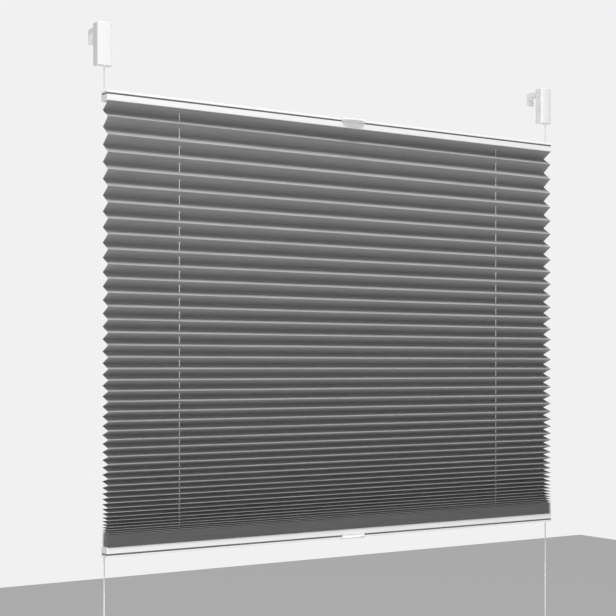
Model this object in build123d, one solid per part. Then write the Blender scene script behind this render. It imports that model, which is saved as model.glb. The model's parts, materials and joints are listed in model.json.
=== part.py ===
from build123d import *
import os
from math import ceil, sqrt

# Pleated blind that clamps onto a window sash. Two slim rails carry one folded sheet, and two
# crossed cords, held tight between four clamp brackets, guide the rails and keep them level.
# Millimetres. +X runs along the rails, +Y from the room into the sash, +Z up.
# The origin is on the sash's top front edge, in the middle of the blind.

# ---- driving dimensions -------------------------------------------------------------------
blind_width = 600.0        # rails, end to end
sash_height = 1210.0       # clamped top edge to clamped bottom edge
sash_thickness = 18.0      # the sash overlap that the clamps close on
drop = 449.0               # fabric between the rails
cord_above = 26.5          # bracket to top rail

rail_depth = 14.0          # along Y
rail_height = 10.0
rail_standoff = 5.0        # sash to the back of a rail
rail_wall = 1.0
rail_band = 6.2            # plain front band, from the fabric side to the groove
groove_height = 1.8
groove_depth = 1.4
lip_thickness = 1.2        # lips either side of the fabric slot
slot_width = 6.0

panel = 15.0               # one fold of the sheet, crease to crease
cloth = 0.3                # thickness of the sheet
side_inset = 1.5           # the sheet is this much shorter than the rails at each end
first_pitch = 15.7         # the first pleat is held a little closed by the rail
open_pitch = 18.1          # the second pleat, which carries the most weight
pitch_step = 0.396         # each pleat further down is this much more closed
stack_pitch = 1.0          # pleats that lie on each other

cord_radius = 0.55
cord_inset = 1.5           # outer cord runs, in from the rail ends
cord_front = 8.8           # outer cord runs, in front of the sash
hole_inset = 85.0          # inner cord runs, in from the rail ends
cord_bend = 2.0
cord_lane = 1.5            # between the two cords where they pass inside a rail
passage_radius = 0.8       # guides and caps round a cord
cloth_hole_radius = 1.0

cap_plate = 3.0
cap_plug = 9.0
guide_length = 12.0
strip_thickness = 1.2

bracket_height = 43.2
bracket_depth = 11.8
bracket_rise = 8.4         # above the sash edge
cover_wall = 1.2
cover_corner = 2.4
cover_crown = 0.5          # the front face bulges this much
cover_edge = 0.3
base_wall = 1.4
bearing_wall = 1.5         # carries the head of the clamp screw
back_plate = 2.0
hook_width = 10.0
hook_sheet = 1.6
hook_rise = 6.6            # top of the arm's side flanges above the sash edge
hook_tail = 5.8            # the same at the back
hook_flange = 1.2
hook_seat = 1.0            # arm above the sash edge
lip_drop = 9.0             # how far the lip reaches behind the sash
nut_thickness = 2.4
screw_radius = 2.0
screw_head_radius = 3.2
screw_head = 1.05
screw_drop = 14.0          # screw axis below the sash edge
socket_flats = 2.5
socket_depth = 1.8
shoe_height = 11.2
shoe_tip = 3.3             # the nose that the cord leaves by
shoe_ledge = 0.8
stop_radius = 1.6
stop_height = 3.0

grip_width = 30.0
grip_wall = 1.0
grip_reach = 4.5           # how far the finger tab stands forward
grip_tab = 1.8

# ---- clearances ---------------------------------------------------------------------------
fit = 0.1                  # pieces that are pushed together and stay
slide_gap = 0.2            # the hook between the walls of its base
cover_gap = 0.2            # the cover round the base
thread_gap = 0.05
bearing_gap = 0.1
snap_gap = 0.25            # grip hooks in the groove

# ---- places that follow -------------------------------------------------------------------
half_width = blind_width / 2
rail_front = -(rail_standoff + rail_depth)
rail_y = -(rail_standoff + rail_depth / 2)
bracket_bottom = bracket_rise - bracket_height
top_z = bracket_bottom - cord_above - rail_height      # fabric side of the top rail
bottom_z = top_z - drop                                # fabric side of the bottom rail
middle = Plane.XY.offset((top_z + bottom_z) / 2)
sash_middle = Plane.XY.offset(-sash_height / 2)
cord_y = -cord_front
cord_x = half_width - cord_inset
hole_x = half_width - hole_inset
low_chamber = rail_depth / 2 - rail_wall               # half depths of the two chambers
high_chamber = rail_depth / 2 - groove_depth - rail_wall
shoulder = rail_band - rail_wall - fit                 # height where the chamber narrows
ceiling = rail_height - rail_wall
lane_middle = (shoulder + ceiling) / 2
lanes = {-1: lane_middle + cord_lane / 2, 1: lane_middle - cord_lane / 2}
slot_half = slot_width / 2
seat = cloth / 2 + fit                                 # sheet against the outside of a lip
cloth_half = half_width - side_inset
held_half = half_width - cap_plate - 2 * fit           # the strip and the edge inside a rail
edge_rise = rail_y - slot_half + fit
bracket_x = cord_x
base_half = hook_width / 2 + slide_gap + base_wall
bracket_width = 2 * (base_half + cover_gap + cover_wall)


# ---- small helpers ------------------------------------------------------------------------
def block(x, y, z):
    """A box from its (low, high) pairs."""
    size = [b - a for a, b in (x, y, z)]
    return Pos(*[(a + b) / 2 for a, b in (x, y, z)]) * Box(*size)


def rod_y(radius, x, z, y0, y1):
    return Pos(x, (y0 + y1) / 2, z) * Rot(90, 0, 0) * Cylinder(radius, y1 - y0)


def rod_z(radius, x, y, z0, z1):
    return Pos(x, y, (z0 + z1) / 2) * Cylinder(radius, z1 - z0)


def rectangle(u0, u1, v0, v1):
    return Pos((u0 + u1) / 2, (v0 + v1) / 2) * Rectangle(u1 - u0, v1 - v0)


def outline(points):
    return make_face(Polyline(*points, close=True))


def along_x(face, x0, x1):
    """A section drawn in Y and Z, pulled out along X."""
    return extrude(Plane.YZ.offset(x0) * face, amount=x1 - x0)


def tube(points, radius):
    path = FilletPolyline(*points, radius=cord_bend)
    return sweep(Plane(origin=path @ 0, z_dir=path % 0) * Circle(radius), path=path)


def save(name, shape):
    export_step(shape, f"parts/{name}.step")


# ---- rails --------------------------------------------------------------------------------
def rail_outside():
    half = rail_depth / 2
    body = rectangle(-half, half, 0, rail_height)
    body = fillet(body.vertices(), 0.6)
    for side in (-1, 1):
        notch = rectangle(half - groove_depth, half + 1, rail_band, rail_band + groove_height)
        body -= notch if side > 0 else mirror(notch, about=Plane.YZ)
    return body


def rail_section():
    body = rail_outside()
    body -= rectangle(-slot_half, slot_half, -1, lip_thickness + 1)
    body -= rectangle(-low_chamber, low_chamber, lip_thickness, shoulder)
    body -= rectangle(-high_chamber, high_chamber, shoulder - 1, ceiling)
    return body


def rail():
    inner = half_width - cap_plate
    return along_x(Pos(rail_y, top_z) * rail_section(), -inner, inner)


def cord_route(side):
    """One cord, from the bracket on its side, across the top rail, down and back again."""
    x_out = side * cord_x
    x_in = -side * hole_x
    high = top_z + lanes[side]
    low = bottom_z - lanes[side]
    return [
        (x_out, cord_y, stop_top),
        (x_out, cord_y, high),
        (x_in, rail_y, high),
        (x_in, rail_y, low),
        (x_out, cord_y, low),
        (x_out, cord_y, -sash_height - stop_top),
    ]


def end_cap(side):
    """A plate that closes the rail, with a plug in the cord chamber."""
    inner = half_width - cap_plate
    plate = along_x(Pos(rail_y, top_z) * rail_outside(), inner, half_width)
    plate = fillet(plate.faces().sort_by(Axis.X)[-1].edges(), 0.4)
    plug = block(
        (inner - cap_plug, inner),
        (rail_y - high_chamber + fit, rail_y + high_chamber - fit),
        (top_z + shoulder + fit, top_z + ceiling - fit),
    )
    cap = plate + plug
    if side < 0:
        cap = mirror(cap, about=Plane.YZ)
    return cap - tube(cord_route(side), passage_radius)


def cord_guide(side):
    """A moulded turn that leads one cord out of the rail and lets the other one pass."""
    x = side * hole_x
    body = block(
        (x - guide_length / 2, x + guide_length / 2),
        (rail_y - high_chamber + fit, rail_y + high_chamber - fit),
        (top_z + shoulder + fit, top_z + ceiling - fit),
    )
    for cord in (-1, 1):
        body -= tube(cord_route(cord), passage_radius)
    return body


def clamp_strip():
    """Holds the turned-in edge of the sheet down on the rail's lips."""
    low = lip_thickness + cloth + 2 * fit
    strip = block(
        (-held_half, held_half),
        (rail_y - low_chamber + 2 * fit, rail_y + low_chamber - 2 * fit),
        (top_z + low, top_z + low + strip_thickness),
    )
    strip = fillet(strip.edges().filter_by(Axis.X), 0.3)
    for side in (-1, 1):
        strip -= rod_z(cloth_hole_radius, side * hole_x, rail_y, top_z, top_z + rail_height)
    return strip


def grip():
    """A clip over the outer edge of the rail, with a curved tab for the finger."""
    half = rail_depth / 2
    out = half + grip_wall
    top = rail_height + grip_wall
    foot = rail_band + snap_gap
    body = rectangle(-out, out, foot, top)
    body -= rectangle(-half, half, 0, rail_height)
    body = fillet(body.vertices().filter_by(lambda v: v.Y > rail_height + grip_wall / 2), 0.7)
    for side in (-1, 1):
        hook_in = half - groove_depth + snap_gap
        hook_top = rail_band + groove_height - snap_gap
        hook = rectangle(hook_in, half + grip_wall / 2, foot, hook_top)
        body += hook if side > 0 else mirror(hook, about=Plane.YZ)
    clip = along_x(Pos(rail_y, top_z) * body, -grip_width / 2, grip_width / 2)
    front = rail_y - out
    chord = Line((-grip_width / 2, front), (grip_width / 2, front))
    bow = ThreePointArc(chord @ 1, (0, front - grip_reach), chord @ 0)
    tab = extrude(make_face([chord, bow]), amount=grip_tab)
    tab = fillet(tab.edges().filter_by(GeomType.CIRCLE), 0.5)
    return clip + Pos(0, 0, top_z + top - grip_tab - grip_wall) * tab


# ---- folded sheet -------------------------------------------------------------------------
def pleat_pitches():
    """Pitch of each pleat, front crease to front crease, from the top down."""
    length = drop - 2 * seat
    pitches = [first_pitch]
    while sum(pitches) < length - stack_pitch / 2:
        hanging = open_pitch - pitch_step * (len(pitches) - 1)
        pitches.append(max(hanging, stack_pitch))
    scale = length / sum(pitches)
    return [p * scale for p in pitches]


def creases():
    """Front and back creases in turn, as (y, z), from the top down."""
    pitches = pleat_pitches()
    z = top_z - seat
    points = []
    for number, pitch in enumerate(pitches + [pitches[-1]]):
        reach = sqrt(panel**2 - (pitch / 2) ** 2) / 2
        points.append((rail_y - reach, z))
        if number < len(pitches):
            points.append((rail_y + reach, z - pitch / 2))
            z -= pitch
    return points


def inner_corner(before, crease, after):
    """Where the inside faces of the two folds at a crease meet."""
    rise_in = (before[1] - crease[1]) / abs(before[0] - crease[0])
    rise_out = (crease[1] - after[1]) / abs(after[0] - crease[0])
    step = cloth / (rise_in + rise_out)
    inward = 1 if before[0] > crease[0] else -1
    return (crease[0] + inward * step, crease[1] - cloth / 2 + rise_in * step)


def sheet_outline():
    line = creases()
    front = []
    back = []
    for number, (y, z) in enumerate(line):
        tip = [(y, z + cloth / 2), (y, z - cloth / 2)]
        at_front = number % 2 == 0
        (front if at_front else back).extend(tip)
        if 0 < number < len(line) - 1:
            corner = inner_corner(line[number - 1], line[number], line[number + 1])
            (back if at_front else front).append(corner)
    return outline(front + back[::-1])


def edge_under_lip():
    """The end of the sheet runs from its first crease, under one lip, to the slot."""
    return rectangle(creases()[0][0], edge_rise + cloth, top_z - fit - cloth, top_z - fit)


def edge_in_rail():
    """It goes up through the slot and back over the other lip, where the strip holds it."""
    inside = top_z + lip_thickness + fit
    edge = rectangle(edge_rise, edge_rise + cloth, top_z - fit - cloth, inside + cloth)
    return edge + rectangle(edge_rise, rail_y + low_chamber - 2 * fit, inside, inside + cloth)


def pleated_fabric():
    under = along_x(edge_under_lip(), -cloth_half, cloth_half)
    held = along_x(edge_in_rail(), -held_half, held_half)
    sheet = along_x(sheet_outline(), -cloth_half, cloth_half)
    for edge in (under, held):
        sheet += edge
        sheet += mirror(edge, about=middle)
    for side in (-1, 1):
        sheet -= rod_z(cloth_hole_radius, side * hole_x, rail_y, bottom_z - 5, top_z + 5)
    return sheet


# ---- clamp bracket, drawn at x = 0 on the sash's top edge --------------------------------
head_front = -(bracket_depth - cover_wall - cover_crown - bearing_gap)
bearing_front = head_front + screw_head + thread_gap
bearing_back = bearing_front + bearing_wall
nut_back = (bearing_back - back_plate) / 2 + nut_thickness / 2
nut_front = nut_back - nut_thickness
shoe_bottom = bracket_bottom + shoe_ledge + 0.5
shoe_top = shoe_bottom + shoe_height
stop_bottom = shoe_top - stop_height - 0.4
stop_top = stop_bottom + stop_height


def cover_plan(inset):
    """Plan of the cover: straight sides, round front corners and a slightly bowed front."""
    half = bracket_width / 2 - inset
    front = -bracket_depth + inset
    corner = cover_corner - inset
    left = Line((-half, 0), (-half, front + cover_crown + corner))
    turn = (-half + corner, front + cover_crown)
    round_left = RadiusArc(left @ 1, turn, -corner)
    face = ThreePointArc(turn, (0, front), (-turn[0], turn[1]))
    round_right = RadiusArc(face @ 1, (half, front + cover_crown + corner), -corner)
    right = Line(round_right @ 1, (half, 0))
    return make_face([left, round_left, face, round_right, right, Line(right @ 1, left @ 0)])


def bracket_cover():
    shell = extrude(cover_plan(0), amount=bracket_height)
    shell = fillet(shell.faces().sort_by(Axis.Z)[-1].edges(), cover_edge)
    hollow = extrude(cover_plan(cover_wall), amount=bracket_height - cover_wall)
    hollow += block(
        (cover_wall - bracket_width / 2, bracket_width / 2 - cover_wall),
        (-cover_wall, 1),
        (-1, bracket_height - cover_wall),
    )
    return Pos(0, 0, bracket_bottom) * (shell - hollow)


def bracket_base():
    """Sits on the sash, carries the screw and holds the tension shoe."""
    wall_in = hook_width / 2 + slide_gap
    top = -0.5
    back = block((-base_half, base_half), (-back_plate, 0), (bracket_bottom + 0.5, top))
    base = back
    for side in (-1, 1):
        x = sorted((side * wall_in, side * base_half))
        base += block(x, (bearing_front, 0), (bracket_bottom + 0.5, top))
        ledge = sorted((side * (wall_in - 2 * shoe_ledge), side * base_half))
        ledge_z = (bracket_bottom + 0.5, bracket_bottom + 0.5 + shoe_ledge - fit / 2)
        base += block(ledge, (bearing_front, 0), ledge_z)
    bearing_z = (shoe_top + 0.5, top - 3)
    base += block((-base_half, base_half), (bearing_front, bearing_back), bearing_z)
    base -= rod_y(screw_radius + bearing_gap, 0, -screw_drop, bearing_front - 1, bearing_back + 1)
    return base


def hook():
    """Pressed steel: a channel-shaped arm, the lip behind the sash and the threaded leg."""
    half = hook_width / 2
    lip_back = sash_thickness + hook_sheet
    top = hook_seat + hook_sheet
    arm = block((-half, half), (nut_front, lip_back), (hook_seat, top))
    lip = block((-half, half), (sash_thickness, lip_back), (-lip_drop, top))
    leg_bottom = shoe_top + 0.6
    leg = block((-half, half), (nut_front, nut_back), (leg_bottom, top))
    shape = arm + lip + leg
    flange = outline(
        [(nut_front, hook_seat), (lip_back, hook_seat), (lip_back, hook_tail), (nut_front, hook_rise)]
    )
    for side in (-1, 1):
        x0, x1 = sorted((side * half, side * (half - hook_flange)))
        shape += along_x(flange, x0, x1)
    lip_edges = shape.edges().filter_by(Axis.X).group_by(Axis.Z)[0]
    shape = fillet(lip_edges, 0.6)
    return shape - rod_y(screw_radius + thread_gap, 0, -screw_drop, nut_front - 1, nut_back + 1)


def clamp_screw():
    head_back = head_front + screw_head
    head = rod_y(screw_head_radius, 0, -screw_drop, head_front, head_back)
    head = chamfer(head.faces().sort_by(Axis.Y)[0].edges(), 0.25)
    shank = rod_y(screw_radius, 0, -screw_drop, head_back, -back_plate - 0.3)
    shank = chamfer(shank.faces().sort_by(Axis.Y)[-1].edges(), 0.3)
    hexagon = RegularPolygon(socket_flats / 2, 6, major_radius=False)
    face = Plane(origin=(0, head_front, -screw_drop), z_dir=(0, 1, 0))
    return head + shank - extrude(face * hexagon, amount=socket_depth)


def tension_shoe():
    """Holds the end of a cord. It stands on the ledges of the base and its nose looks out."""
    half = hook_width / 2
    shoe_front = -(bracket_depth - cover_wall - cover_crown - 0.3)
    body = block((-half, half), (shoe_front, -back_plate - fit), (shoe_bottom, shoe_top))
    body = fillet(body.edges().filter_by(Axis.Z), 0.8)
    nose_z = shoe_bottom - shoe_tip
    nose = Pos(0, cord_y, (nose_z + shoe_bottom) / 2) * Cone(1.3, 1.8, shoe_tip)
    shoe = body + nose
    shoe -= rod_z(passage_radius, 0, cord_y, nose_z - 1, shoe_top)
    return shoe - rod_z(stop_radius + fit, 0, cord_y, stop_bottom, shoe_top + 1)


def cord_stop():
    """A ferrule on the end of the cord, too wide for the hole in the shoe."""
    stop = rod_z(stop_radius, 0, cord_y, stop_bottom, stop_top)
    stop = chamfer(stop.edges().filter_by(GeomType.CIRCLE), 0.3)
    return stop - rod_z(cord_radius + thread_gap, 0, cord_y, stop_bottom - 1, stop_top + 1)


# ---- build --------------------------------------------------------------------------------
os.makedirs("parts", exist_ok=True)

rail_pieces = {
    "{}_rail": rail(),
    "{}_rail_cap_left": end_cap(-1),
    "{}_rail_cap_right": end_cap(1),
    "{}_cord_guide_left": cord_guide(-1),
    "{}_cord_guide_right": cord_guide(1),
    "{}_clamp_strip": clamp_strip(),
    "{}_grip": grip(),
}
for name, shape in rail_pieces.items():
    save(name.format("top"), shape)
    save(name.format("bottom"), mirror(shape, about=middle))

save("pleated_fabric", pleated_fabric())

for side, word in ((-1, "left"), (1, "right")):
    cord = tube(cord_route(side), cord_radius)
    save(f"cord_{word}", cord)
    length = FilletPolyline(*cord_route(side), radius=cord_bend).length
    print(f"cord_{word}: {length:.1f} mm long")

bracket_pieces = {
    "cover": bracket_cover(),
    "base": bracket_base(),
    "hook": hook(),
    "clamp_screw": clamp_screw(),
    "tension_shoe": tension_shoe(),
    "cord_stop": cord_stop(),
}
for name, shape in bracket_pieces.items():
    for side, word in ((-1, "left"), (1, "right")):
        placed = Pos(side * bracket_x, 0, 0) * shape
        save(f"top_{word}_{name}", placed)
        save(f"bottom_{word}_{name}", mirror(placed, about=sash_middle))

sheet_length = 2 * panel * len(pleat_pitches()) + 2 * (panel / 2 + low_chamber + lip_thickness)
print(f"sheet: {2 * cloth_half:.1f} by {sheet_length:.1f} mm flat, {len(pleat_pitches())} pleats")
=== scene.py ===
import json
from math import cos, radians, sin, sqrt, tau

import bpy
import numpy as np
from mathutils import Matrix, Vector


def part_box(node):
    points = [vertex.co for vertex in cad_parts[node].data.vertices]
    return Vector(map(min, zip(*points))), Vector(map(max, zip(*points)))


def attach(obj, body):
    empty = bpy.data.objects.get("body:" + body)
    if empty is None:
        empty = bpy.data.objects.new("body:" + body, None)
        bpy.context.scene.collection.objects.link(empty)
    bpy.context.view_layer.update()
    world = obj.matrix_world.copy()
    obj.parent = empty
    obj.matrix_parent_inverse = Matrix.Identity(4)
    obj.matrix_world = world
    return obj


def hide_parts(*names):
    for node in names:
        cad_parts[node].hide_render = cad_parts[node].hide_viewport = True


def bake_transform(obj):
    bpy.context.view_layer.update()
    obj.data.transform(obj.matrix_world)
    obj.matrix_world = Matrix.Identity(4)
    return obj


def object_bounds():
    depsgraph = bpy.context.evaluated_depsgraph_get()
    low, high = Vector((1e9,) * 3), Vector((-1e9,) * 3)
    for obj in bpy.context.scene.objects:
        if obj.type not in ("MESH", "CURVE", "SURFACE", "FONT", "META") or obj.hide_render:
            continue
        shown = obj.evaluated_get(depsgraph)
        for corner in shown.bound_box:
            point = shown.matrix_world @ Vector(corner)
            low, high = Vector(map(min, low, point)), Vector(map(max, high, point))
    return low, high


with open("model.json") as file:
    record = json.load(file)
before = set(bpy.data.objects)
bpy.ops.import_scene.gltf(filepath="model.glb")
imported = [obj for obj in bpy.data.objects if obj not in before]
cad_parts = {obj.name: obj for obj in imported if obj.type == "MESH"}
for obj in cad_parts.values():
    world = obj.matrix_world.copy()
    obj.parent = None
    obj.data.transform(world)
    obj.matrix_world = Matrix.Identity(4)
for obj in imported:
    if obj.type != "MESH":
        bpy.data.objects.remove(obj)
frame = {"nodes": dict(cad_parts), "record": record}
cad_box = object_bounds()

# Pleated blind clamped to a window sash. Metres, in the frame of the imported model:
# +X along the rails, +Y from the room into the sash, +Z up, origin on the sash's top edge.

MM = 0.001

# ---- places that the frame gives ----------------------------------------------------------
rail_low, rail_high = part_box("top_rail")
low_rail_low, low_rail_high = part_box("bottom_rail")
top_z = rail_low.z                     # fabric side of the top rail
bottom_z = low_rail_high.z             # fabric side of the bottom rail
rail_y = (rail_low.y + rail_high.y) / 2
stop_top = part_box("top_left_cord_stop")[1].z
lower_stop_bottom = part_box("bottom_left_cord_stop")[0].z
cloth_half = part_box("pleated_fabric")[1].x
blind_middle = Vector((0, rail_y, (top_z + bottom_z) / 2))

# ---- sizes of the sheet and the cords -----------------------------------------------------
cloth = 0.3 * MM                       # thickness of the sheet
panel = 15.0 * MM                      # one fold, crease to crease
first_pitch = 15.7 * MM                # held a little closed by the rail
open_pitch = 18.1 * MM                 # the pleat that carries the most weight
pitch_step = 0.396 * MM                # each one further down is this much more closed
stack_pitch = 1.0 * MM                 # pleats that lie on each other
edge_gap = 0.1 * MM                    # between the sheet and the rail's lips
slot_half = 3.0 * MM                   # half the slot that the sheet's edges go in by
lip = 1.2 * MM                         # thickness of the lips beside that slot
hem_reach = 5.8 * MM                   # from the rail's middle back over the further lip
hem_half = 296.8 * MM                  # half its width, between the rail's end caps
punch_radius = 1.0 * MM
crease_wander = 0.9 * MM               # how far a crease strays, front to back
wander_rate = 9.0                      # how often it does so along a metre
wander_step = 3.7                      # keeps one crease's straying unlike the next one's
weld = 0.001 * MM                      # points closer than this become one

groove_low, groove_high = 6.2 * MM, 8.0 * MM     # grooves along a rail, from the fabric side; painted shade fills them
groove_edge = 0.02 * MM                # the painted shade also covers the groove's own edges
painted_shade_inset = 0.25 * MM                  # and starts this far inside the rail's face

cord_radius = 0.55 * MM
cord_x = 298.5 * MM                    # outer runs
cord_y = -8.8 * MM
hole_x = 215.0 * MM                    # inner runs, through the sheet
cord_bend = 1.1 * MM                   # where a cord turns in or out of a rail
rail_skin = 1.0 * MM                   # depth inside a rail where the ridden stretch begins
lanes = {-1: 7.8 * MM, 1: 6.3 * MM}    # height of each cord in a rail, from the fabric side
lower_joint_z = -836.0 * MM            # where the two halves of a lower outer run meet

# Travel of the bottom rail from rest, towards the top rail and away from it.
closing = 380.0 * MM
opening = 300.0 * MM
widest_pitch = 28.5 * MM               # no pleat opens past this
closed_pitch = 1.05 * MM               # or closes past this


# ---- camera -------------------------------------------------------------------------------
camera_place = Vector((-0.864, -1.264, -0.340))
camera_turn = radians(-32.84)
camera_lens = 78.9
camera_shift = 0.0974

camera = bpy.data.objects.new("camera", bpy.data.cameras.new("camera"))
camera.data.lens = camera_lens
camera.data.sensor_width = 36.0
camera.data.shift_y = camera_shift
camera.location = camera_place
camera.rotation_euler = (radians(90), 0, camera_turn)
bpy.context.scene.collection.objects.link(camera)
bpy.context.scene.camera = camera


# ---- node trees as expressions ------------------------------------------------------------
class Value:
    """A socket of a node tree. Arithmetic on it adds Math nodes to the tree."""

    def __init__(self, tree, socket):
        self.tree = tree
        self.socket = socket

    def calc(self, operation, *terms):
        inputs = dict(enumerate(terms))
        return self.tree.node("ShaderNodeMath", {"operation": operation}, inputs)[0]

    def __add__(self, other):
        return self.calc("ADD", self, other)

    __radd__ = __add__

    def __sub__(self, other):
        return self.calc("SUBTRACT", self, other)

    def __rsub__(self, other):
        return self.calc("SUBTRACT", other, self)

    def __mul__(self, other):
        return self.calc("MULTIPLY", self, other)

    __rmul__ = __mul__

    def __truediv__(self, other):
        return self.calc("DIVIDE", self, other)

    def __rtruediv__(self, other):
        return self.calc("DIVIDE", other, self)

    def __lt__(self, other):
        return self.calc("LESS_THAN", self, other)

    def __abs__(self):
        return self.calc("ABSOLUTE", self)

    def floor(self):
        return self.calc("FLOOR", self)

    def fraction(self):
        return self.calc("FRACT", self)

    def sign(self):
        return self.calc("SIGN", self)

    def sine(self):
        return self.calc("SINE", self)

    def root(self):
        return self.calc("SQRT", self)

    def at_least(self, other):
        return self.calc("MAXIMUM", self, other)

    def at_most(self, other):
        return self.calc("MINIMUM", self, other)


class Outputs:
    """What a node gives, by the name or number of the output."""

    def __init__(self, tree, node):
        self.tree = tree
        self.node = node

    def __getitem__(self, key):
        return Value(self.tree, self.node.outputs[key])


class Tree:
    """A node tree. All of its nodes come from one method."""

    def __init__(self, nodes):
        self.nodes = nodes

    def node(self, kind, settings=None, inputs=None):
        """Adds a node of a kind, makes its settings, then sets or links its sockets."""
        made = self.nodes.nodes.new(kind)
        for name, value in (settings or {}).items():
            setattr(made, name, value)
        for key, value in (inputs or {}).items():
            if isinstance(value, Value):
                self.nodes.links.new(value.socket, made.inputs[key])
            else:
                made.inputs[key].default_value = value
        return Outputs(self, made)

    def vector(self, x, y, z):
        return self.node("ShaderNodeCombineXYZ", None, {"X": x, "Y": y, "Z": z})[0]

    def split(self, vector):
        parts = self.node("ShaderNodeSeparateXYZ", None, {0: vector})
        return parts["X"], parts["Y"], parts["Z"]

    def stretch(self, value, low, high, new_low, new_high):
        """Value, held between low and high, taken to the new range."""
        inputs = {0: value, 1: low, 2: high, 3: new_low, 4: new_high}
        return self.node("ShaderNodeMapRange", None, inputs)[0]

    def cells(self, value, stretches):
        """A count of cells becomes a distance, where each (cells, length) follows the last."""
        total = 0
        start = 0
        for count, length in stretches:
            total = self.stretch(value, start, start + count, 0, length) + total
            start += count
        return total


# ---- materials ----------------------------------------------------------------------------
class Finish(Tree):
    """A material: one principled shader, and the patterns that feed it."""

    def __init__(self, name, colour, **constants):
        self.material = bpy.data.materials.new(name)
        self.material.use_nodes = True
        super().__init__(self.material.node_tree)
        self.shader = self.nodes.nodes["Principled BSDF"]
        self.shader.inputs["Base Color"].default_value = (*colour, 1)
        self.material.diffuse_color = (*colour, 1)
        for socket, value in constants.items():
            self.shader.inputs[socket.replace("_", " ")].default_value = value

    def place(self):
        return self.node("ShaderNodeTexCoord")["Object"]

    def flat_place(self):
        return self.node("ShaderNodeUVMap", {"uv_map": "UVMap"})[0]

    def noise(self, vector, scale, detail=2.0):
        settings = {"noise_dimensions": "3D"}
        inputs = {"Vector": vector, "Scale": scale, "Detail": detail}
        return self.node("ShaderNodeTexNoise", settings, inputs)[0]

    def grain(self, scale, stretch=(1, 1, 1), detail=2.0):
        """Noise on the object's own coordinates, drawn out along an axis by a small factor."""
        inputs = {"Vector": self.place(), "Scale": stretch}
        drawn = self.node("ShaderNodeMapping", None, inputs)[0]
        return self.noise(drawn, scale, detail)

    def mix(self, factor, first, second):
        settings = {"data_type": "RGBA"}
        inputs = {0: factor, 6: first, 7: second}
        return self.node("ShaderNodeMix", settings, inputs)[2]

    def feed(self, socket, value):
        self.nodes.links.new(value.socket, self.shader.inputs[socket])

    def shade(self, factor, first, second, grooves=False):
        """Base colour between two, by a factor from 0 to 1, with painted shade in the grooves if asked.
        """
        colour = self.mix(factor, (*first, 1), (*second, 1))
        self.feed("Base Color", self.painted_groove_shade(colour) if grooves else colour)

    def painted_groove_shade(self, colour):
        """The colour, but a dark grey inside the grooves along a rail: painted shade, standing in for
        the shadow there.
        """
        _, y, z = self.split(self.place())
        rise = abs(z - blind_middle.z) - (top_z - bottom_z) / 2
        from_groove = abs(rise - (groove_low + groove_high) / 2)
        beside = from_groove < (groove_high - groove_low) / 2 + groove_edge
        within = abs(y - rail_y) < (rail_high.y - rail_low.y) / 2 - painted_shade_inset
        return self.mix(beside * within, colour, (*groove_shade_grey, 1))

    def bump(self, height, distance, strength=1.0):
        inputs = {"Height": height, "Distance": distance, "Strength": strength}
        self.feed("Normal", self.node("ShaderNodeBump", None, inputs)["Normal"])


def grey(level, warm=0.0):
    return (level * (1 + warm), level, level * (1 - warm))


groove_shade_grey = grey(0.22)                 # dark grey of the painted shade inside the grooves along a rail


def powder_coat():
    finish = Finish("powder_coat", grey(0.82), Roughness=0.34, Specular_IOR_Level=0.5)
    peel = finish.grain(900.0)
    draw = finish.grain(700.0, stretch=(0.02, 1, 1))
    # The rail's grooves get painted shade, a dark grey in place of their shadow.
    finish.shade(finish.grain(14.0), grey(0.79, 0.004), grey(0.84), grooves=True)
    finish.feed("Roughness", 0.28 + 0.12 * peel)
    finish.bump(peel + 0.5 * draw, 0.02 * MM)
    return finish.material


def moulded_white(name, level, roughness, texture, grooves=False):
    """Moulded plastic with a spark-eroded surface and faint flow marks, and painted shade in the rail's
    grooves where grooves is set.
    """
    finish = Finish(name, grey(level), Roughness=roughness, Specular_IOR_Level=0.45)
    pits = finish.grain(texture, detail=4.0)
    flow = finish.grain(90.0, stretch=(1, 1, 0.3))
    finish.shade(flow, grey(level - 0.03, 0.006), grey(level + 0.02), grooves)
    finish.feed("Roughness", (roughness - 0.05) + 0.12 * pits)
    finish.bump(pits, 0.015 * MM)
    return finish.material


def cover_satin():
    finish = Finish("cover_satin", grey(0.79), Roughness=0.3, Coat_Weight=0.25, Coat_Roughness=0.18)
    flow = finish.grain(60.0, stretch=(1, 1, 0.25))
    pits = finish.grain(1800.0, detail=3.0)
    finish.shade(flow, grey(0.76, 0.005), grey(0.81))
    finish.feed("Roughness", 0.26 + 0.1 * pits)
    finish.bump(pits, 0.008 * MM)
    return finish.material


def frosted_grip():
    finish = Finish("frosted_grip", grey(0.8), Roughness=0.42, Transmission_Weight=0.1)
    pits = finish.grain(2200.0, detail=3.0)
    finish.shade(finish.grain(70.0), (0.76, 0.765, 0.77), (0.84, 0.845, 0.85))
    finish.feed("Roughness", 0.36 + 0.16 * pits)
    finish.bump(pits, 0.012 * MM)
    return finish.material


def coated_steel():
    """White lacquer on pressed steel, thinner and darker in rubbed patches."""
    finish = Finish("coated_steel", grey(0.8), Roughness=0.4)
    peel = finish.grain(1300.0)
    rubbed = finish.stretch(finish.grain(260.0, detail=6.0), 0.62, 0.72, 0, 1)
    finish.shade(rubbed, grey(0.82), grey(0.66, 0.01))
    finish.feed("Roughness", 0.33 + 0.15 * peel)
    finish.bump(peel, 0.02 * MM)
    return finish.material


def zinc_steel():
    finish = Finish("zinc_steel", grey(0.6), Metallic=1.0, Roughness=0.32)
    turning = finish.grain(2600.0, stretch=(0.15, 1, 0.15), detail=3.0)
    finish.shade(finish.grain(400.0), (0.5, 0.51, 0.53), (0.66, 0.67, 0.68))
    finish.feed("Roughness", 0.24 + 0.2 * turning)
    finish.bump(turning, 0.01 * MM)
    return finish.material


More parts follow.
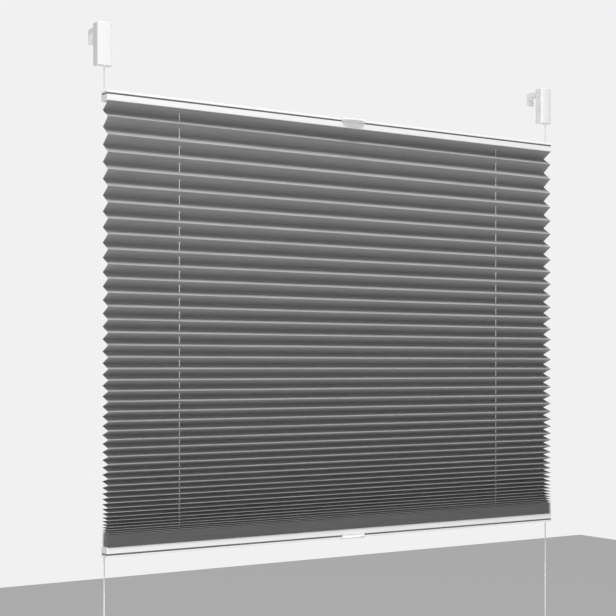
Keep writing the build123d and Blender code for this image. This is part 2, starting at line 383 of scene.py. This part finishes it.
def plated_brass():
    finish = Finish("plated_brass", grey(0.66), Metallic=1.0, Roughness=0.28)
    turning = finish.grain(2400.0, stretch=(0.15, 0.15, 1), detail=3.0)
    finish.shade(finish.grain(500.0), (0.56, 0.55, 0.52), (0.7, 0.69, 0.67))
    finish.feed("Roughness", 0.22 + 0.18 * turning)
    finish.bump(turning, 0.01 * MM)
    return finish.material


def pleated_cloth():
    """Plain-woven polyester, with threads along both ways of the flat sheet."""
    finish = Finish("pleated_cloth", grey(0.257), Roughness=0.85, Sheen_Weight=0.12, Sheen_Roughness=0.5)
    across, along, _ = finish.split(finish.flat_place())
    thread = 0.42 * MM
    weft = (along * (tau / thread)).sine()
    warp = (across * (tau / thread)).sine()
    weave = weft * warp
    # Slubs and thick threads run across the sheet, many times longer than they are wide.
    slub = finish.noise(finish.vector(across * 60.0, along * 2400.0, 0), 1.0, 3.0)
    thick = finish.noise(finish.vector(across * 14.0, along * 620.0, 0), 1.0, 2.0)
    cloud = finish.noise(finish.vector(across, along, 0), 35.0, 3.0)
    tone = 0.5 + 0.2 * weave + 0.5 * (slub - 0.5) + 0.9 * (thick - 0.5) + 0.3 * (cloud - 0.5)
    finish.shade(tone, grey(0.212), grey(0.302))
    finish.feed("Roughness", 0.78 + 0.14 * cloud)
    finish.bump(weave + 0.7 * slub, 0.03 * MM)
    return finish.material


def braided_cord():
    """Crossing strands, on a map with turns round the cord and metres along it."""
    finish = Finish("braided_cord", grey(0.8), Roughness=0.7, Sheen_Weight=0.1)
    turn, along, _ = finish.split(finish.flat_place())
    lay = 2.6 * MM
    strands = 4.0
    right = (turn * (tau * strands) + along * (tau * strands / lay)).sine()
    left = (turn * (tau * strands) - along * (tau * strands / lay)).sine()
    braid = right.at_least(left)
    finish.shade(0.5 + 0.5 * braid, grey(0.62), grey(0.8))
    finish.feed("Roughness", 0.75 - 0.1 * braid)
    finish.bump(braid, 0.06 * MM)
    return finish.material


cloth_finish = pleated_cloth()
cord_finish = braided_cord()
finishes = {
    "rail_paint": powder_coat(),
    # the end caps carry the rail's profile, so they get the same painted shade in the grooves
    "cap_plastic": moulded_white("cap_plastic", 0.84, 0.42, 1500.0, grooves=True),
    "guide_plastic": moulded_white("guide_plastic", 0.8, 0.5, 1500.0),
    "strip_plastic": moulded_white("strip_plastic", 0.76, 0.5, 1100.0),
    "base_plastic": moulded_white("base_plastic", 0.8, 0.48, 1500.0),
    "grip_plastic": frosted_grip(),
    "cover_plastic": cover_satin(),
    "hook_metal": coated_steel(),
    "screw_metal": zinc_steel(),
    "ferrule_metal": plated_brass(),
}
slots = {entry["node"]: entry["material_slot"] for entry in frame["record"]["subparts"]}
for node, piece in frame["nodes"].items():
    if slots[node] in finishes:
        piece.data.materials.clear()
        piece.data.materials.append(finishes[slots[node]])


# ---- shapes along a route -----------------------------------------------------------------
def lofted(name, rings, lengths, turns, material, smooth):
    """A closed shape through rings of points, mapped by turns round it and length along it."""
    sides = len(rings[0])
    faces, uvs = [], []
    for ring in range(len(rings) - 1):
        for corner in range(sides):
            step = (corner + 1) % sides
            low, high = ring * sides, (ring + 1) * sides
            faces.append((low + corner, low + step, high + step, high + corner))
            left, right = turns[corner], turns[corner + 1]
            down, up = lengths[ring], lengths[ring + 1]
            uvs += [(left, down), (right, down), (right, up), (left, up)]
    last = (len(rings) - 1) * sides
    for cap in (range(sides)[::-1], range(last, last + sides)):
        faces.append(tuple(cap))
        uvs += [(0.0, 0.0)] * sides
    mesh = bpy.data.meshes.new(name)
    mesh.from_pydata([point for ring in rings for point in ring], [], faces)
    layer = mesh.uv_layers.new(name="UVMap")
    layer.data.foreach_set("uv", np.array(uvs, np.float32).ravel())
    mesh.polygons.foreach_set("use_smooth", [smooth and len(face) == 4 for face in faces])
    mesh.materials.append(material)
    piece = bpy.data.objects.new(name, mesh)
    bpy.context.scene.collection.objects.link(piece)
    return piece


def lengths_along(route):
    """How far along a route each of its points is."""
    steps = [(after - before).length for before, after in zip(route, route[1:])]
    return [0.0, *np.cumsum(steps)]


# ---- folded sheet -------------------------------------------------------------------------
hanging_length = top_z - bottom_z - 2 * edge_gap - cloth


def pleat_pitches():
    """Pitch of each pleat, front crease to front crease, from the top down."""
    pitches = [first_pitch]
    while sum(pitches) < hanging_length - stack_pitch / 2:
        hanging = open_pitch - pitch_step * (len(pitches) - 1)
        pitches.append(max(hanging, stack_pitch))
    return np.array(pitches) * hanging_length / sum(pitches)


pitches = pleat_pitches()
pleats = len(pitches)

# Cells of the sheet's grid: across the width there is a hole either side of the middle, and
# every panel has a row of cells through its holes.
hole_cells = 4
side_cells = 5
middle_cells = 24
columns = 2 * side_cells + 2 * hole_cells + middle_cells + 1
panel_rows = hole_cells + 3
near_hole = 1.01                       # a hole's own cells lie within this many radii


class FoldTree(Tree):
    """Builds the whole sheet from its sizes: laid out flat, punched, then folded."""

    sizes = {
        "Half Width": cloth_half,
        "Panel": panel,
        "Cloth": cloth,
        "Pleats": float(pleats),
        "First Pitch": first_pitch,
        "Open Pitch": open_pitch,
        "Pitch Step": pitch_step,
        "Stack Pitch": stack_pitch,
        "Top": top_z - edge_gap - cloth / 2,
        "Drop": hanging_length,
        "Depth": rail_y,
        "Hole Place": hole_x,
        "Hole Radius": punch_radius,
        "Wander": crease_wander,
    }

    def __init__(self):
        super().__init__(bpy.data.node_groups.new("folded_sheet", "GeometryNodeTree"))
        sockets = self.nodes.interface
        for name in self.sizes:
            sockets.new_socket(name=name, in_out="INPUT", socket_type="NodeSocketFloat")
        sockets.new_socket(name="Material", in_out="INPUT", socket_type="NodeSocketMaterial")
        sockets.new_socket(name="Geometry", in_out="OUTPUT", socket_type="NodeSocketGeometry")
        self.size = self.node("NodeGroupInput")

    def attribute(self, name):
        settings = {"data_type": "FLOAT"}
        return self.node("GeometryNodeInputNamedAttribute", settings, {"Name": name})[0]

    def store(self, geometry, name, value, kind="FLOAT", domain="POINT"):
        settings = {"data_type": kind, "domain": domain}
        inputs = {"Geometry": geometry, "Name": name, "Value": value}
        return self.node("GeometryNodeStoreNamedAttribute", settings, inputs)[0]

    def moved(self, geometry, position):
        inputs = {"Geometry": geometry, "Position": position}
        return self.node("GeometryNodeSetPosition", None, inputs)[0]

    def pitch(self, pleat):
        """Pitch of a pleat, by its number from the top, before all are scaled to the drop."""
        first = pleat < 0.5
        hanging = self.size["Open Pitch"] - self.size["Pitch Step"] * (pleat - 1)
        rest = hanging.at_least(self.size["Stack Pitch"])
        return first * self.size["First Pitch"] + (1 - first) * rest

    def fall(self, pleat):
        """Pitches of all the pleats above a front crease, added up."""
        size = self.size
        started = pleat.at_most(1.0)
        hangs = ((size["Open Pitch"] - size["Stack Pitch"]) / size["Pitch Step"]).floor() + 1
        others = (pleat - 1).at_least(0.0)
        open_ones = others.at_most(hangs)
        closing_up = size["Pitch Step"] * open_ones * (open_ones - 1) / 2
        stacked = (others - open_ones) * size["Stack Pitch"]
        return started * size["First Pitch"] + open_ones * size["Open Pitch"] - closing_up + stacked

    def reach(self, pitch):
        """Half the depth of a pleat of some pitch."""
        size = self.size
        return (size["Panel"] * size["Panel"] - pitch * pitch / 4).root() / 2

    def inner_step(self, pitch):
        """How far the inside of a crease lies from its outside."""
        return 2 * self.size["Cloth"] * self.reach(pitch) / pitch

    def wander(self, across, crease):
        """A small wandering of a crease along its length."""
        place = self.vector(across * wander_rate, crease * wander_step, 0)
        inputs = {"Vector": place, "Scale": 1.0, "Detail": 1.0}
        return (self.node("ShaderNodeTexNoise", None, inputs)[0] - 0.5) * self.size["Wander"]

    def flat_sheet(self):
        """A grid with its rows and columns spread over the flat sheet, and round holes."""
        size = self.size
        rows = size["Pleats"] * (2 * panel_rows)
        inputs = {"Size X": 1.0, "Size Y": 1.0, "Vertices X": columns, "Vertices Y": rows}
        grid = self.node("GeometryNodeMeshGrid", None, inputs)[0]
        index = self.node("GeometryNodeInputIndex")[0]
        column = ((index + 0.5) / rows).floor()
        row = index - column * rows
        fold = ((row + 0.5) / panel_rows).floor()
        radius = size["Hole Radius"]
        side = size["Half Width"] - size["Hole Place"] - radius
        middle = 2 * (size["Hole Place"] - radius)
        hole = (hole_cells, 2 * radius)
        widths = [(side_cells, side), hole, (middle_cells, middle), hole, (side_cells, side)]
        across = self.cells(column, widths) - size["Half Width"]
        margin = size["Panel"] / 2 - radius
        heights = [(1, margin), hole, (1, margin)]
        along = self.cells(row - fold * panel_rows, heights)
        from_hole = abs(across) - size["Hole Place"]
        from_middle = along - size["Panel"] / 2
        square = abs(from_hole).at_least(abs(from_middle))
        circle = (from_hole * from_hole + from_middle * from_middle).root()
        near = square < radius * near_hole
        pull = 1 + near * (square / circle - 1)
        across = across.sign() * (size["Hole Place"] + from_hole * pull)
        along = size["Panel"] / 2 + from_middle * pull
        stored = self.store(grid, "fold", fold)
        flat = self.moved(stored, self.vector(across, fold * size["Panel"] + along, 0))
        return self.punched(flat)

    def punched(self, flat):
        x, y, _ = self.split(self.node("GeometryNodeInputPosition")[0])
        size = self.size
        from_hole = abs(x) - size["Hole Place"]
        from_middle = ((y / size["Panel"]).fraction() - 0.5) * size["Panel"]
        gap = (from_hole * from_hole + from_middle * from_middle).root()
        inputs = {"Geometry": flat, "Selection": gap < size["Hole Radius"]}
        left = self.node("GeometryNodeDeleteGeometry", {"domain": "FACE"}, inputs)[0]
        along = y / size["Panel"] - self.attribute("fold")
        left = self.store(left, "along", along)
        return self.store(left, "UVMap", self.vector(x, y, 0), "FLOAT2", "CORNER")

    def folded(self, geometry, back):
        """The sheet's front face, or its back face where back is 1."""
        size = self.size
        x, _, _ = self.split(self.node("GeometryNodeInputPosition")[0])
        fold = self.attribute("fold")
        pleat = (fold / 2 + 0.25).floor()
        turned = fold - 2 * pleat
        along = self.attribute("along")
        inward = turned + along * (1 - 2 * turned)
        scale = size["Drop"] / self.fall(size["Pleats"])
        front = pleat + turned
        back_pitch = self.pitch(pleat) * scale
        front_pitch = self.pitch(front) * scale
        half_cloth = (2 * turned - 1) * size["Cloth"] / 2
        front_y = size["Depth"] - self.reach(front_pitch) + self.wander(x, front)
        back_y = size["Depth"] + self.reach(back_pitch) + self.wander(x, pleat + 0.5)
        front_y = front_y + back * self.inner_step(front_pitch)
        back_y = back_y - (1 - back) * self.inner_step(back_pitch)
        front_z = size["Top"] - self.fall(front) * scale + (1 - back) * half_cloth
        back_z = size["Top"] - self.fall(pleat) * scale - back_pitch / 2 - back * half_cloth
        y = front_y + (back_y - front_y) * inward
        z = front_z + (back_z - front_z) * inward
        return self.moved(geometry, self.vector(x, y, z))

    def build(self):
        flat = self.flat_sheet()
        inputs = {"Mesh": flat, "Offset Scale": 0.0, "Individual": False}
        raised = self.node("GeometryNodeExtrudeMesh", {"mode": "FACES"}, inputs)
        back = self.folded(self.store(raised["Mesh"], "back", raised["Top"]), self.attribute("back"))
        front = self.folded(self.node("GeometryNodeFlipFaces", None, {"Mesh": flat})[0], 0)
        joined = self.node("GeometryNodeJoinGeometry", None, {0: front})
        self.nodes.links.new(back.socket, joined.node.inputs[0])
        inputs = {"Geometry": joined[0], "Distance": weld}
        closed = self.node("GeometryNodeMergeByDistance", None, inputs)[0]
        whole = self.node("GeometryNodeRealizeInstances", None, {"Geometry": closed})[0]
        inputs = {"Geometry": whole, "Material": self.size["Material"]}
        finished = self.node("GeometryNodeSetMaterial", None, inputs)[0]
        self.node("NodeGroupOutput", None, {"Geometry": finished})
        return self.nodes


def grown(name, tree, sizes):
    """An object with the plain mesh that a geometry tree makes from named sizes."""
    piece = bpy.data.objects.new(name, bpy.data.meshes.new(name))
    bpy.context.scene.collection.objects.link(piece)
    modifier = piece.modifiers.new("shape", "NODES")
    modifier.node_group = tree
    for socket in tree.interface.items_tree:
        if socket.in_out == "INPUT":
            modifier[socket.identifier] = sizes[socket.name]
    seen = piece.evaluated_get(bpy.context.evaluated_depsgraph_get())
    mesh = bpy.data.meshes.new_from_object(seen)
    piece.modifiers.remove(modifier)
    piece.data = mesh
    mesh.name = name
    return piece


def travel_shares():
    """Part of the bottom rail's way that each front crease has gone, from the top down."""
    share = np.minimum((widest_pitch - pitches) / opening, (pitches - closed_pitch) / closing)
    share = np.maximum(share, 0)
    return np.concatenate([[0], np.cumsum(share / share.sum())])


def values_of(mesh, name):
    values = np.zeros(len(mesh.vertices), np.float32)
    mesh.attributes[name].data.foreach_get("value", values)
    return values


def hem(name, body, rail_side, inward):
    """A turned-in edge: along one lip, in through the slot and back over the other lip.

    Inward is 1 where the rail lies above the sheet, and -1 where it lies below.
    """
    outside = rail_side - inward * (edge_gap + cloth / 2)
    inside = rail_side + inward * (lip + edge_gap + cloth / 2)
    rise = rail_y - slot_half + edge_gap + cloth / 2
    pitch = pitches[0] if inward > 0 else pitches[-1]
    crease = rail_y - sqrt(panel**2 - (pitch / 2) ** 2) / 2
    corners = [(crease, outside), (rise, outside), (rise, inside), (rail_y + hem_reach, inside)]
    route = [Vector((0, *corner)) for corner in corners]
    rings = []
    for before, here, after in zip(route[:1] + route, route, route[1:] + route[-1:]):
        into = (here - before).normalized()
        out = (after - here).normalized()
        side = (into + out).cross(Vector((1, 0, 0))) * cloth / 2
        across = Vector((cloth_half if here is route[0] else hem_half, 0, 0))
        left, right = here - across, here + across
        rings.append([left - side, right - side, right + side, left + side])
    turns = [-cloth_half, cloth_half, cloth_half, -cloth_half, -cloth_half]
    piece = lofted(name, rings, lengths_along(route), turns, cloth_finish, smooth=False)
    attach(piece, body)
    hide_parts("pleated_fabric")
    return piece


fabric = grown("folded_sheet", FoldTree().build(), {**FoldTree.sizes, "Material": cloth_finish})
crease = values_of(fabric.data, "fold") + values_of(fabric.data, "along")
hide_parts("pleated_fabric")
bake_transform(fabric)
weights = np.interp(crease / 2, np.arange(pleats + 1), travel_shares())
for name in ("fold", "along", "back"):
    fabric.data.attributes.remove(fabric.data.attributes[name])
top_hem = hem("top_hem", "top_rail", top_z, 1)
bottom_hem = hem("bottom_hem", "bottom_rail", bottom_z, -1)


# ---- cords --------------------------------------------------------------------------------
cord_sides = 16
UP = Vector((0, 0, 1))


def rounded(points, radius, steps=6):
    """A route of straight runs that meet at right angles, its corners rounded with arcs."""
    route = [points[0]]
    for before, corner, after in zip(points, points[1:], points[2:]):
        into = (corner - before).normalized()
        out = (after - corner).normalized()
        centre = corner - into * radius + out * radius
        for step in range(steps + 1):
            turn = tau / 4 * step / steps
            route.append(centre - out * radius * cos(turn) + into * radius * sin(turn))
    return route + [points[-1]]


def cord_tube(name, route, node):
    """A closed tube along a route that stands for part of one cord."""
    side = Vector((0, 1, 0))
    rings = []
    for before, here, after in zip(route[:1] + route, route, route[1:] + route[-1:]):
        tangent = (after - before).normalized()
        side = (side - tangent * side.dot(tangent)).normalized()
        other = tangent.cross(side)
        angles = [tau * corner / cord_sides for corner in range(cord_sides)]
        rings.append([here + (side * cos(a) + other * sin(a)) * cord_radius for a in angles])
    turns = [corner / cord_sides for corner in range(cord_sides + 1)]
    piece = lofted(name, rings, lengths_along(route), turns, cord_finish, smooth=True)
    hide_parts(node)
    return piece


def whole_cord(side, word):
    """One cord: two stretches inside the rails, and straight runs between them."""
    node = f"cord_{word}"
    outside = Vector((side * cord_x, cord_y, 0))
    inside = Vector((-side * hole_x, rail_y, 0))
    high = UP * (top_z + lanes[side])
    low = UP * (bottom_z - lanes[side])
    roof = UP * (rail_high.z - rail_skin)
    mouth = UP * (top_z + rail_skin)
    low_mouth = UP * (bottom_z - rail_skin)
    low_floor = UP * (low_rail_low.z + rail_skin)
    across_top = [outside + roof, outside + high, inside + high, inside + mouth]
    across_bottom = [inside + low_mouth, inside + low, outside + low, outside + low_floor]
    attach(cord_tube(f"{node}_in_top_rail", rounded(across_top, cord_bend), node), "top_rail")
    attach(cord_tube(f"{node}_in_bottom_rail", rounded(across_bottom, cord_bend), node), "bottom_rail")
    runs = [
        ("above", outside, UP * stop_top, roof, "root", "top_rail"),
        ("inner", inside, mouth, low_mouth, "top_rail", "bottom_rail"),
        ("below", outside, UP * lower_joint_z, low_floor, "top_rail", "bottom_rail"),
        ("lowest", outside, UP * lower_stop_bottom, UP * lower_joint_z, "root", "top_rail"),
    ]
    for run, place, start, end, body, other in runs:
        piece = cord_tube(f"{node}_{run}", [place + start, place + end], node)
        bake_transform(piece)


for side, word in ((-1, "left"), (1, "right")):
    whole_cord(side, word)


# ---- floor and light ----------------------------------------------------------------------
floor_half = 14.0                      # half its width
floor_drop = 1.7                       # below the lower brackets
floor_glow = 0.24                      # keeps the floor pale under soft light
world_light = 0.18                     # how brightly the surround lights the blind
world_seen = 0.88                      # how bright it looks behind it
lamps = {                              # place, width and watts
    "top_light": ((0.0, -0.85, 2.9), 1.5, 170.0),
    "front_light": ((-1.3, -2.1, -0.4), 0.8, 22.0),
    "back_light": ((0.9, 2.3, 0.9), 1.4, 60.0),
    "side_light": ((-2.4, -0.6, 0.1), 1.2, 12.0),
}


def floor():
    level = cad_box[0][2] - floor_drop
    turns = ((-1, -1), (1, -1), (1, 1), (-1, 1))
    corners = [(x * floor_half, y * floor_half, level) for x, y in turns]
    mesh = bpy.data.meshes.new("floor")
    mesh.from_pydata(corners, [], [(0, 1, 2, 3)])
    constants = {"Roughness": 0.9, "Specular_IOR_Level": 0.1, "Emission_Strength": floor_glow}
    finish = Finish("floor", grey(0.86), **constants)
    finish.shader.inputs["Emission Color"].default_value = (1, 1, 1, 1)
    finish.shade(finish.grain(3.0), grey(0.85), grey(0.87))
    mesh.materials.append(finish.material)
    plane = bpy.data.objects.new("floor", mesh)
    bpy.context.scene.collection.objects.link(plane)


def area_light(name, place, size, watts):
    """A square lamp that looks at the middle of the blind."""
    light = bpy.data.lights.new(name, "AREA")
    light.size = size
    light.energy = watts
    lamp = bpy.data.objects.new(name, light)
    lamp.location = place
    lamp.rotation_euler = (blind_middle - Vector(place)).to_track_quat("-Z", "Y").to_euler()
    bpy.context.scene.collection.objects.link(lamp)


def studio_world():
    """An even white surround, that the camera sees brighter than it lights."""
    world = bpy.data.worlds.new("studio")
    world.use_nodes = True
    tree = Tree(world.node_tree)
    is_seen = tree.node("ShaderNodeLightPath")["Is Camera Ray"]
    strength = world_light + (world_seen - world_light) * is_seen
    background = world.node_tree.nodes["Background"]
    background.inputs["Color"].default_value = (1, 1, 1, 1)
    tree.nodes.links.new(strength.socket, background.inputs["Strength"])
    bpy.context.scene.world = world


floor()
for name, (place, size, watts) in lamps.items():
    area_light(name, place, size, watts)
studio_world()
bpy.context.scene.view_settings.view_transform = "Standard"
